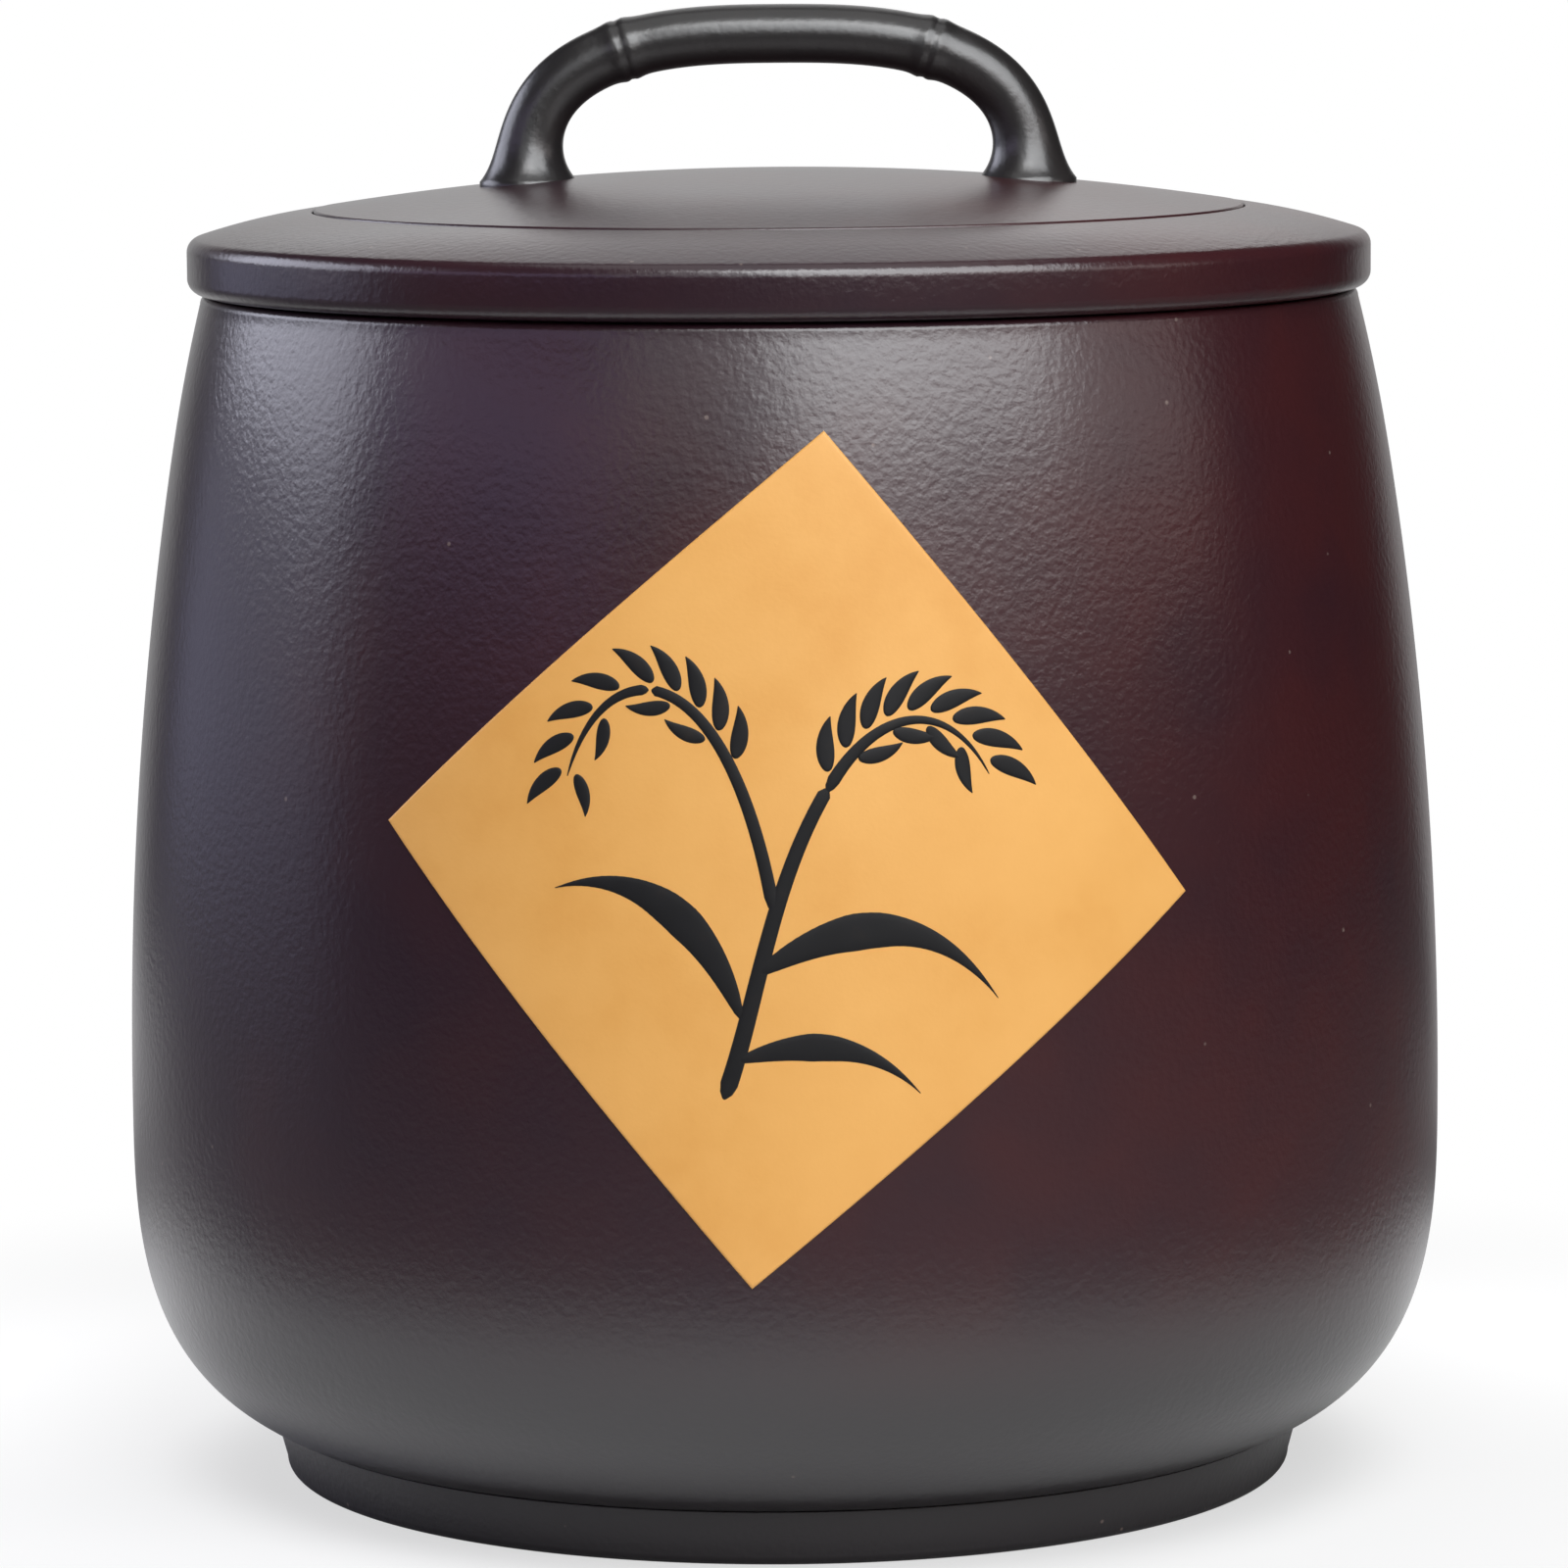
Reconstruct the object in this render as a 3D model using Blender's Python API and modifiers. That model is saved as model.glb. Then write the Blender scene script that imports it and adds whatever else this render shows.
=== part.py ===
"""Stoneware rice jar with a foot ring, a diamond label panel and a lid that lifts off and turns.

The lid is built up as slab-made lids are: a seat plate, a domed disc let into it, a locating
flange under it with a lip seal in its groove, and a handle formed like a bent length of bamboo.
Metres, +Z up, and the front of the jar faces -Y. The origin is on the jar's axis, on the surface
that the jar stands on.
"""
import math

import bpy
import bmesh
import numpy as np

# Shared values
CLEARANCE = 0.0003
OVERRUN = 0.0040
TURN_STEPS = 60
ARC_STEPS = 3
MERGE_DISTANCE = 0.00001

# Foot ring
FOOT_HEIGHT = 0.0118
FOOT_WIDTH = 0.0134
FOOT_STEP_IN = 0.0008
FOOT_TAPER = 0.0024
FOOT_EDGE_RADIUS = 0.0022
FOOT_INNER_CHAMFER = 0.0015

# Jar body, with heights above its own underside
JAR_HEIGHT = 0.2396
BELLY_RADIUS = 0.1398
BELLY_HEIGHT = 0.0703
RIM_RADIUS = 0.1220
TURN_IN = 0.0010
TURN_IN_HEIGHT = 0.0353
BASE_RADIUS = 0.1111
HIP_UNDERCUT = 0.0060
HIP_FULLNESS_SHARE = 3.19
WALL = 0.0080
FLOOR = 0.0090
FLOOR_FILLET = 0.0100
RIM_WIDTH = 0.0079
RIM_ROUND = 0.0021
MOUTH_LAND = 0.0160
LAND_TAPER = 0.0080
SHOULDER_STEPS = 9
HIP_STEPS = 11
OFFSET_SAMPLES = 240

# Label panel, laid on the jar's wall
PANEL_SIDE = 0.1198
PANEL_THICKNESS = 0.0005
PANEL_HEIGHT = 0.1353
PANEL_OFFSET = 0.0009
PANEL_TILT = math.radians(5.2)
PANEL_CELLS = 16

# Lid plate, with heights above its own underside
LID_OVERHANG = 0.0031
LID_EDGE_HEIGHT = 0.0118
LID_LOWER_ROUND = 0.0032
LID_UPPER_ROUND = 0.0031
LID_BORDER_WIDTH = 0.0265
LID_BORDER_RISE = 0.0051
LID_BORDER_CROWN = 0.0006
BORDER_STEPS = 3
LID_HOLLOW_RISE = 0.0062
SEAT_WIDTH = 0.0063
SEAM_ROUND = 0.0006

# Lid dome
DOME_EDGE = 0.0068
DOME_STEP = 0.0003
DOME_RISE = 0.0076
DOME_THICKNESS = 0.0070
DOME_STEPS = 6

# Locating flange and the seal in its groove
FLANGE_PLAY = 0.0035
FLANGE_WALL = 0.0060
FLANGE_DEPTH = 0.0140
FLANGE_CHAMFER = 0.0012
GROOVE_DEPTH = 0.0020
GROOVE_HEIGHT = 0.0092
GROOVE_DROP = 0.0016
SEAL_BAND = 0.0020
SEAL_LIP_COUNT = 2
SEAL_LIP_ROOT = 0.0018
SEAL_LIP_TIP = 0.0008
SEAL_LIP_LIFT = 0.0009

# Handle
HANDLE_REACH = 0.0528
HANDLE_RISE = 0.0309
HANDLE_SQUARENESS_SHARE = 2.75
GRIP_RADIUS = 0.0062
FOOT_FLARE = 0.0042
FLARE_FADE = 0.0048
JOINT_REACH = 0.0324
JOINT_SWELL = 0.0007
JOINT_SWELL_WIDTH = 0.0026
JOINT_GROOVE = 0.0005
JOINT_GROOVE_WIDTH = 0.0009
JOINT_RING_SHARES = (-2.0, -1.2, -0.7, -0.3, 0.0, 0.3, 0.7, 1.2, 2.0)
HANDLE_RINGS = 30
HANDLE_ROUNDNESS = 6
PATH_SAMPLES = 600

# Sizes that follow from the ones above
JAR_BASE = FOOT_HEIGHT + CLEARANCE
PANEL_TURN = math.pi / 4 - PANEL_TILT
MOUTH_RADIUS = RIM_RADIUS - RIM_WIDTH
LID_BASE = JAR_BASE + JAR_HEIGHT + CLEARANCE
LID_RADIUS = RIM_RADIUS + LID_OVERHANG
REBATE_RADIUS = LID_RADIUS - LID_BORDER_WIDTH
DOME_RADIUS = REBATE_RADIUS - CLEARANCE
OPENING_RADIUS = REBATE_RADIUS - SEAT_WIDTH
BORDER_TOP = LID_EDGE_HEIGHT + LID_BORDER_RISE
DOME_BASE = BORDER_TOP + DOME_STEP - DOME_EDGE
SEAT_HEIGHT = DOME_BASE - CLEARANCE
FLANGE_RADIUS = MOUTH_RADIUS - FLANGE_PLAY
GROOVE_TOP = -CLEARANCE - GROOVE_DROP
GROOVE_BOTTOM = GROOVE_TOP - GROOVE_HEIGHT

# Surface finishes: base colour, roughness
CLAY = (0.045, 0.026, 0.031, 1.0), 0.42
PANEL_SLIP = (0.80, 0.43, 0.12, 1.0), 0.55
HANDLE_CLAY = (0.022, 0.019, 0.020, 1.0), 0.30
SILICONE = (0.62, 0.60, 0.56, 1.0), 0.50


def clear_scene():
    for old in list(bpy.data.objects):
        bpy.data.objects.remove(old, do_unlink=True)


def make_collection(name):
    group = bpy.data.collections.new(name)
    bpy.context.scene.collection.children.link(group)
    return group


def make_material(name, finish):
    colour, roughness = finish
    material = bpy.data.materials.new(name)
    material.use_nodes = True
    shader = material.node_tree.nodes["Principled BSDF"]
    shader.inputs["Base Color"].default_value = colour
    shader.inputs["Roughness"].default_value = roughness
    shader.inputs["Metallic"].default_value = 0.0
    material.diffuse_color = colour
    return material


def place(mesh, name, group, finish, height=0.0, parent=None):
    """Make an object on the jar's axis, at a height in its parent's frame."""
    piece = bpy.data.objects.new(name, mesh)
    piece.location.z = height
    piece.parent = parent
    group.objects.link(piece)
    mesh.materials.append(make_material(name, finish))
    return piece


def arc(centre, radius, start, end, steps=ARC_STEPS):
    """Points of a round edge, from one angle to another, in degrees from +R towards +Z."""
    turn = np.radians(np.linspace(start, end, steps + 1))
    return [(centre[0] + radius * math.cos(a), centre[1] + radius * math.sin(a)) for a in turn]


def blend(start, corner, end, steps=ARC_STEPS + 1):
    """Points of a soft bend between two straight runs that would meet at the corner."""
    share = np.linspace(0, 1, steps + 1)[:, None]
    start, corner, end = np.array(start), np.array(corner), np.array(end)
    points = (1 - share) ** 2 * start + 2 * share * (1 - share) * corner + share ** 2 * end
    return [tuple(point) for point in points]


def cap_heights(radii, edge_radius, rise):
    """Heights above its edge of a shallow spherical cap with the given rise."""
    ball = (edge_radius ** 2 + rise ** 2) / (2 * rise)
    return np.sqrt(ball ** 2 - np.asarray(radii) ** 2) - (ball - rise)


def turned(name, outline, ring):
    """Mesh of a turned piece's outline: radius and height pairs that run down the outer side.

    A ring's outline is a closed loop. Any other one starts and ends on the axis.
    """
    mesh = bpy.data.meshes.new(name)
    points = [(radius, 0.0, height) for radius, height in outline]
    edges = [(i, i + 1) for i in range(len(points) - 1)]
    if ring:
        edges.append((len(points) - 1, 0))
    mesh.from_pydata(points, edges, [])
    return mesh


def spin(piece):
    """Turn the outline all the way round the jar's axis."""
    screw = piece.modifiers.new("turn", "SCREW")
    screw.axis = "Z"
    screw.angle = 2 * math.pi
    screw.steps = TURN_STEPS
    screw.render_steps = TURN_STEPS
    screw.use_merge_vertices = True
    screw.merge_threshold = MERGE_DISTANCE
    screw.use_smooth_shade = True


def shoulder_radius(height):
    """Outer radius above the belly: an arc that stands upright there and turns in at the rim."""
    rise, inset = JAR_HEIGHT - BELLY_HEIGHT, BELLY_RADIUS - RIM_RADIUS - TURN_IN
    bow = (rise ** 2 + inset ** 2) / (2 * inset)
    share = np.maximum(height - JAR_HEIGHT + TURN_IN_HEIGHT, 0) / TURN_IN_HEIGHT
    upright = 1 - np.sqrt(1 - ((height - BELLY_HEIGHT) / bow) ** 2)
    return BELLY_RADIUS - bow * upright - TURN_IN * share ** 2


def hip_outline(steps):
    """Outer radii and heights from the belly down to the flat underside.

    They follow a quarter of a superellipse, which the underside cuts off just before its end.
    """
    depth, power = BELLY_HEIGHT + HIP_UNDERCUT, HIP_FULLNESS_SHARE
    turn = np.linspace(0, math.asin((BELLY_HEIGHT / depth) ** (power / 2)), steps + 1)
    drop = depth * np.sin(turn) ** (2 / power)
    inset = 1 - np.cos(turn) ** (2 / power)
    return BELLY_RADIUS - (BELLY_RADIUS - BASE_RADIUS) * inset / inset[-1], BELLY_HEIGHT - drop


def wall_outline(shoulder_steps, hip_steps):
    """Outer radii and heights of the whole wall, from the rim down to the underside."""
    upper = np.linspace(JAR_HEIGHT, BELLY_HEIGHT, shoulder_steps + 1)
    radii, lower = hip_outline(hip_steps)
    return np.append(shoulder_radius(upper), radii[1:]), np.append(upper, lower[1:])


def outer_radius(height):
    radii, heights = wall_outline(OFFSET_SAMPLES, OFFSET_SAMPLES)
    return np.interp(height, heights[::-1], radii[::-1])


def inner_radius(height):
    """Radius of the wall's inside, which is its outside moved in square to it by the wall."""
    radii, heights = wall_outline(OFFSET_SAMPLES, OFFSET_SAMPLES)
    along_r, along_z = np.gradient(radii), np.gradient(heights)
    length = np.hypot(along_r, along_z)
    inside_r = radii + along_z / length * WALL
    inside_z = heights - along_r / length * WALL
    return np.interp(height, inside_z[::-1], inside_r[::-1])


def jar_outline():
    """From the middle of the floor out, up the inside, over the rim and down the outside."""
    fillet_top = FLOOR + FLOOR_FILLET
    corner = float(inner_radius(FLOOR))
    land_bottom = JAR_HEIGHT - MOUTH_LAND
    points = [(0.0, FLOOR)]
    points += blend((corner - FLOOR_FILLET, FLOOR), (corner, FLOOR),
                    (float(inner_radius(fillet_top)), fillet_top))
    middle = BELLY_HEIGHT + WALL
    hip = np.linspace(fillet_top, middle, HIP_STEPS // 2)[1:]
    shoulder = np.linspace(middle, land_bottom - LAND_TAPER, SHOULDER_STEPS // 2 + 1)[1:]
    points += [(float(inner_radius(height)), height) for height in np.append(hip, shoulder)]
    points.append((MOUTH_RADIUS, land_bottom))
    round_start = JAR_HEIGHT - RIM_ROUND
    outer_edge = float(outer_radius(round_start)) - RIM_ROUND
    points += arc((MOUTH_RADIUS + RIM_ROUND, round_start), RIM_ROUND, 180, 90)
    points += arc((outer_edge, round_start), RIM_ROUND, 90, 0)
    radii, heights = wall_outline(SHOULDER_STEPS, HIP_STEPS)
    points += [pair for pair in zip(radii, heights) if pair[1] < round_start]
    points.append((0.0, 0.0))
    return points


def build_jar_body(group):
    mesh = turned("jar_body", jar_outline(), ring=False)
    jar = place(mesh, "jar_body", group, CLAY, height=JAR_BASE)
    spin(jar)
    return jar


def build_foot_ring(group):
    top = BASE_RADIUS - FOOT_STEP_IN
    bottom = top - FOOT_TAPER
    inner = top - FOOT_WIDTH
    edge = (bottom - FOOT_EDGE_RADIUS, FOOT_EDGE_RADIUS)
    outline = [(top - CLEARANCE, FOOT_HEIGHT), (top, FOOT_HEIGHT - CLEARANCE)]
    outline += arc(edge, FOOT_EDGE_RADIUS, 0, -90)
    outline += [(inner + FOOT_INNER_CHAMFER, 0.0), (inner, FOOT_INNER_CHAMFER), (inner, FOOT_HEIGHT)]
    spin(place(turned("foot_ring", outline, ring=True), "foot_ring", group, CLAY))


def wall_point(across, up, lift):
    """Point on the jar's wall for a sheet laid on it, with the front of the jar at zero across.

    Across is measured round the wall and up along its outline, so the sheet keeps its size. As
    the wall narrows upwards, a level line on the sheet drops away on both sides of its middle.
    """
    heights = np.linspace(0, JAR_HEIGHT, OFFSET_SAMPLES)
    radii = outer_radius(heights)
    lengths = np.append(0, np.cumsum(np.hypot(np.diff(radii), np.diff(heights))))
    start = np.interp(PANEL_HEIGHT, heights, lengths)
    narrowing = np.interp(PANEL_HEIGHT, heights, -np.gradient(radii, heights))
    drop = narrowing * across ** 2 / (2 * outer_radius(PANEL_HEIGHT))
    height = np.interp(start + up - drop, lengths, heights)
    radius = outer_radius(height)
    turn = across / radius
    return (radius + lift) * np.sin(turn), -(radius + lift) * np.cos(turn), height


def build_label_panel(group, jar):
    """A square sheet of slip, turned onto its corner and wrapped onto the wall."""
    mesh = bpy.data.meshes.new("label_panel")
    sheet = bmesh.new()
    bmesh.ops.create_grid(sheet, x_segments=PANEL_CELLS, y_segments=PANEL_CELLS, size=PANEL_SIDE / 2)
    sheet.to_mesh(mesh)
    sheet.free()
    flat = np.zeros(len(mesh.vertices) * 3)
    mesh.vertices.foreach_get("co", flat)
    x, y = flat.reshape(-1, 3)[:, 0], flat.reshape(-1, 3)[:, 1]
    across = x * math.cos(PANEL_TURN) - y * math.sin(PANEL_TURN) + PANEL_OFFSET
    up = x * math.sin(PANEL_TURN) + y * math.cos(PANEL_TURN)
    wrapped = np.stack(wall_point(across, up, CLEARANCE), axis=1)
    mesh.vertices.foreach_set("co", wrapped.ravel())
    mesh.shade_smooth()
    panel = place(mesh, "label_panel", group, PANEL_SLIP, parent=jar)
    shell = panel.modifiers.new("thickness", "SOLIDIFY")
    shell.thickness = PANEL_THICKNESS
    shell.offset = 1.0


def border_outline():
    """The plate's border from the rebate out, bowed up between its ends, and its upper edge."""
    start, end = REBATE_RADIUS + SEAM_ROUND, LID_RADIUS - LID_UPPER_ROUND
    slope = math.degrees(math.atan2(LID_BORDER_RISE + 4 * LID_BORDER_CROWN, end - start))
    edge = arc((end, LID_EDGE_HEIGHT - LID_UPPER_ROUND), LID_UPPER_ROUND, 90 - slope, 0)
    share = np.linspace(0, 1, BORDER_STEPS + 1)[:-1]
    radii = start + (edge[0][0] - start) * share
    bow = 4 * LID_BORDER_CROWN * share * (1 - share)
    heights = BORDER_TOP + (edge[0][1] - BORDER_TOP) * share + bow
    return list(zip(radii, heights)) + edge


def build_lid_plate(group, lid):
    """Seat plate: a ring with a rounded edge, a sloping border and a rebate for the dome."""
    outline = [(OPENING_RADIUS, SEAT_HEIGHT), (REBATE_RADIUS, SEAT_HEIGHT)]
    outline.append((REBATE_RADIUS, BORDER_TOP - SEAM_ROUND))
    outline += border_outline()
    outline += arc((LID_RADIUS - LID_LOWER_ROUND, LID_LOWER_ROUND), LID_LOWER_ROUND, 0, -90)
    outline += [(FLANGE_RADIUS - FLANGE_WALL, 0.0), (OPENING_RADIUS, LID_HOLLOW_RISE)]
    spin(place(turned("lid_plate", outline, ring=True), "lid_plate", group, CLAY, parent=lid))


def dome_top_height(radius):
    """Height of the dome's upper face, in the lid's frame."""
    return BORDER_TOP + DOME_STEP + cap_heights(radius, DOME_RADIUS, DOME_RISE)


def build_lid_dome(group, lid):
    """Domed disc, with a flat seat round its hollowed underside."""
    crown = np.linspace(0, DOME_RADIUS - SEAM_ROUND, DOME_STEPS)
    outline = list(zip(crown, dome_top_height(crown)))
    outline += [(DOME_RADIUS, BORDER_TOP + DOME_STEP - SEAM_ROUND), (DOME_RADIUS, DOME_BASE)]
    hollow = np.linspace(OPENING_RADIUS - CLEARANCE, 0, DOME_STEPS)
    hollow_rise = DOME_EDGE + DOME_RISE - DOME_THICKNESS
    outline += list(zip(hollow, DOME_BASE + cap_heights(hollow, hollow[0], hollow_rise)))
    spin(place(turned("lid_dome", outline, ring=False), "lid_dome", group, CLAY, parent=lid))


def build_lid_flange(group, lid):
    """Locating flange: a hoop under the plate that drops into the mouth and carries the seal."""
    inner = FLANGE_RADIUS - FLANGE_WALL
    floor = FLANGE_RADIUS - GROOVE_DEPTH
    outline = [(inner, -CLEARANCE), (FLANGE_RADIUS, -CLEARANCE)]
    outline += [(FLANGE_RADIUS, GROOVE_TOP), (floor, GROOVE_TOP)]
    outline += [(floor, GROOVE_BOTTOM), (FLANGE_RADIUS, GROOVE_BOTTOM)]
    outline += [(FLANGE_RADIUS, FLANGE_CHAMFER - FLANGE_DEPTH)]
    outline += [(FLANGE_RADIUS - FLANGE_CHAMFER, -FLANGE_DEPTH), (inner, -FLANGE_DEPTH)]
    spin(place(turned("lid_flange", outline, ring=True), "lid_flange", group, CLAY, parent=lid))


def build_seal_ring(group):
    """Lip seal: a band in the flange's groove with lips that reach out to the mouth's wall."""
    inner = FLANGE_RADIUS - GROOVE_DEPTH + CLEARANCE
    outer = inner + SEAL_BAND
    tip = MOUTH_RADIUS - CLEARANCE
    top, bottom = GROOVE_TOP - CLEARANCE, GROOVE_BOTTOM + CLEARANCE
    outline = [(inner, top), (outer, top)]
    for middle in np.linspace(top, bottom, SEAL_LIP_COUNT + 2)[1:-1]:
        outline += [(outer, middle + SEAL_LIP_ROOT / 2),
                    (tip, middle + SEAL_LIP_LIFT + SEAL_LIP_TIP / 2),
                    (tip, middle + SEAL_LIP_LIFT - SEAL_LIP_TIP / 2),
                    (outer, middle - SEAL_LIP_ROOT / 2)]
    outline += [(outer, bottom), (inner, bottom)]
    mesh = turned("seal_ring", outline, ring=True)
    spin(place(mesh, "seal_ring", group, SILICONE, height=LID_BASE))


def handle_path():
    """Centreline of the handle's arch, sampled finely: positions and the lengths along it.

    It is the upper half of a superellipse that stands on the dome at both feet.
    """
    power = 2 / HANDLE_SQUARENESS_SHARE
    turn = np.linspace(math.pi, 0, PATH_SAMPLES)
    across = np.sign(np.cos(turn)) * np.abs(np.cos(turn)) ** power * HANDLE_REACH
    up = np.abs(np.sin(turn)) ** power * HANDLE_RISE
    lengths = np.append(0, np.cumsum(np.hypot(np.diff(across), np.diff(up))))
    return across, up, lengths


def handle_rings():
    """Places and radii of the handle's rings, set close together across its bamboo joints."""
    across, up, lengths = handle_path()
    joints = np.interp([-JOINT_REACH, JOINT_REACH], across, lengths)
    reach = JOINT_SWELL_WIDTH * JOINT_RING_SHARES[-1]
    even = np.linspace(0, lengths[-1], HANDLE_RINGS)
    kept = [s for s in even if np.abs(joints - s).min() > reach]
    close = [joint + share * JOINT_SWELL_WIDTH for joint in joints for share in JOINT_RING_SHARES]
    stations = np.sort(np.array(kept + close))
    x, z = np.interp(stations, lengths, across), np.interp(stations, lengths, up)
    radii = GRIP_RADIUS + FOOT_FLARE * np.exp(-z / FLARE_FADE)
    for joint in joints:
        radii += JOINT_SWELL * np.exp(-((stations - joint) / JOINT_SWELL_WIDTH) ** 2)
        radii -= JOINT_GROOVE * np.exp(-((stations - joint) / JOINT_GROOVE_WIDTH) ** 2)
    return x, z, radii


def build_lid_handle(group, cutters, lid):
    """A tube bent into an arch, with two bamboo joints, whose flared feet sit on the dome."""
    x, z, radii = handle_rings()
    x = np.concatenate([x[:1], x, x[-1:]])
    z = np.concatenate([[-OVERRUN], z, [-OVERRUN]]) + float(dome_top_height(HANDLE_REACH))
    radii = np.concatenate([radii[:1], radii, radii[-1:]])
    curve = bpy.data.curves.new("handle_tube", "CURVE")
    curve.dimensions = "3D"
    curve.bevel_depth = GRIP_RADIUS
    curve.bevel_resolution = HANDLE_ROUNDNESS
    curve.use_fill_caps = True
    spline = curve.splines.new("POLY")
    spline.points.add(len(x) - 1)
    for point, px, pz, radius in zip(spline.points, x, z, radii):
        point.co = (px, 0.0, pz, 1.0)
        point.radius = radius / GRIP_RADIUS
    tube = bpy.data.objects.new("handle_tube", curve)
    group.objects.link(tube)
    bpy.context.view_layer.update()
    mesh = bpy.data.meshes.new_from_object(tube.evaluated_get(bpy.context.evaluated_depsgraph_get()))
    bpy.data.objects.remove(tube, do_unlink=True)
    welded = bmesh.new()
    welded.from_mesh(mesh)
    bmesh.ops.remove_doubles(welded, verts=welded.verts, dist=MERGE_DISTANCE)
    welded.to_mesh(mesh)
    welded.free()
    mesh.name = "lid_handle"
    mesh.shade_smooth()
    handle = place(mesh, "lid_handle", group, HANDLE_CLAY, parent=lid)
    crown = np.linspace(0, DOME_RADIUS, 2 * DOME_STEPS)
    outline = list(zip(crown, dome_top_height(crown) + CLEARANCE))
    outline += [(DOME_RADIUS, DOME_BASE - OVERRUN), (0.0, DOME_BASE - OVERRUN)]
    cutter = place(turned("dome_cutter", outline, ring=False), "dome_cutter", cutters, CLAY, parent=lid)
    spin(cutter)
    cutter.hide_render = True
    cutter.display_type = "WIRE"
    cut = handle.modifiers.new("seat on dome", "BOOLEAN")
    cut.operation = "DIFFERENCE"
    cut.solver = "EXACT"
    cut.object = cutter


def main():
    clear_scene()
    group = make_collection("rice_jar")
    cutters = make_collection("cutters")
    lid = bpy.data.objects.new("lid", None)
    lid.location.z = LID_BASE
    group.objects.link(lid)
    jar = build_jar_body(group)
    build_foot_ring(group)
    build_label_panel(group, jar)
    build_seal_ring(group)
    build_lid_plate(group, lid)
    build_lid_dome(group, lid)
    build_lid_flange(group, lid)
    build_lid_handle(group, cutters, lid)


main()
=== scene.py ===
# Rice jar in satin stoneware: the looks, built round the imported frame.
# Metres, +Z up, the front with its label panel to -Y.
import math

import bpy
import numpy as np
from mathutils import Matrix, Vector


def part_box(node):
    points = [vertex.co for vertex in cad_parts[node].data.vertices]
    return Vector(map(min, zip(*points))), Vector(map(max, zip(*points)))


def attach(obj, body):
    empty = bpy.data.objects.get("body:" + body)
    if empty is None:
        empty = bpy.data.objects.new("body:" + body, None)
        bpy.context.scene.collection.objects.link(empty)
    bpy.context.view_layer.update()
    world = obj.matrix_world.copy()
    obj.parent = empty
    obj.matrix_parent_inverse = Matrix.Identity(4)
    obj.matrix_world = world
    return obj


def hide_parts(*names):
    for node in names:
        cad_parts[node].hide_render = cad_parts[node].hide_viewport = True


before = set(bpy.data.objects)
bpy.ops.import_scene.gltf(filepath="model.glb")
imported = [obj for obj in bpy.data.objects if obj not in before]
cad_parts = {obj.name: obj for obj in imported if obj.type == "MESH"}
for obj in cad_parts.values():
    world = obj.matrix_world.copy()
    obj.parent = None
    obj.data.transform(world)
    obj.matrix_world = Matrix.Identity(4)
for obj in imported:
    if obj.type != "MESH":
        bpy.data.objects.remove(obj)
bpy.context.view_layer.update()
print("frame loaded:", len(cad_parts), "nodes")


# Colour, nodes and meshes

sharpAngle = 50             # degrees; a surface that folds by more shows an edge there


def toLinear(hexColour):
    # sRGB hex to the linear colour that the shaders take
    channels = np.array([int(hexColour[i:i + 2], 16) for i in (1, 3, 5)]) / 255
    linear = np.where(channels <= 0.04045, channels / 12.92, ((channels + 0.055) / 1.055) ** 2.4)
    return (*linear.tolist(), 1.0)


def addNode(tree, kind, settings=None, links=None):
    # one node with its settings (sockets by name or number, else properties) and incoming links
    node = tree.nodes.new(kind)
    for key, value in (settings or {}).items():
        if isinstance(key, int) or key in node.inputs:
            node.inputs[key].default_value = value
        else:
            setattr(node, key, value)
    for key, source in (links or {}).items():
        tree.links.new(source, node.inputs[key])
    return node


def setStops(rampNode, stops):
    # colour ramp stops as (position, sRGB hex)
    elements = rampNode.color_ramp.elements
    while len(elements) < len(stops):
        elements.new(0.5)
    for element, (position, colour) in zip(elements, stops):
        element.position = position
        element.color = toLinear(colour)


def newMaterial(name):
    # a material with its node tree, its shader and the Object coordinates that its patterns read
    material = bpy.data.materials.new(name)
    material.use_nodes = True
    tree = material.node_tree
    where = addNode(tree, "ShaderNodeTexCoord").outputs["Object"]
    return material, tree, tree.nodes["Principled BSDF"], where


def gridFaces(index, wrapRows, wrapColumns):
    # quads of a grid of vertex numbers, each as upper left, lower left, lower right, upper right
    if wrapRows:
        index = np.vstack([index, index[:1]])
    if wrapColumns:
        index = np.hstack([index, index[:, :1]])
    corners = index[:-1, :-1], index[1:, :-1], index[1:, 1:], index[:-1, 1:]
    return np.stack(corners, axis=-1).reshape(-1, 4)


def makePiece(name, points, faces, material, body, slot, stands=()):
    # a finished piece: its mesh, material, body and the solids that it stands for; slot is not used
    mesh = bpy.data.meshes.new(name)
    mesh.from_pydata(points.tolist(), [], faces)
    mesh.shade_smooth()
    mesh.set_sharp_from_angle(angle=math.radians(sharpAngle))
    mesh.materials.append(material)
    piece = bpy.data.objects.new(name, mesh)
    bpy.context.scene.collection.objects.link(piece)
    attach(piece, body)
    if stands:
        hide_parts(*stands)


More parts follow.
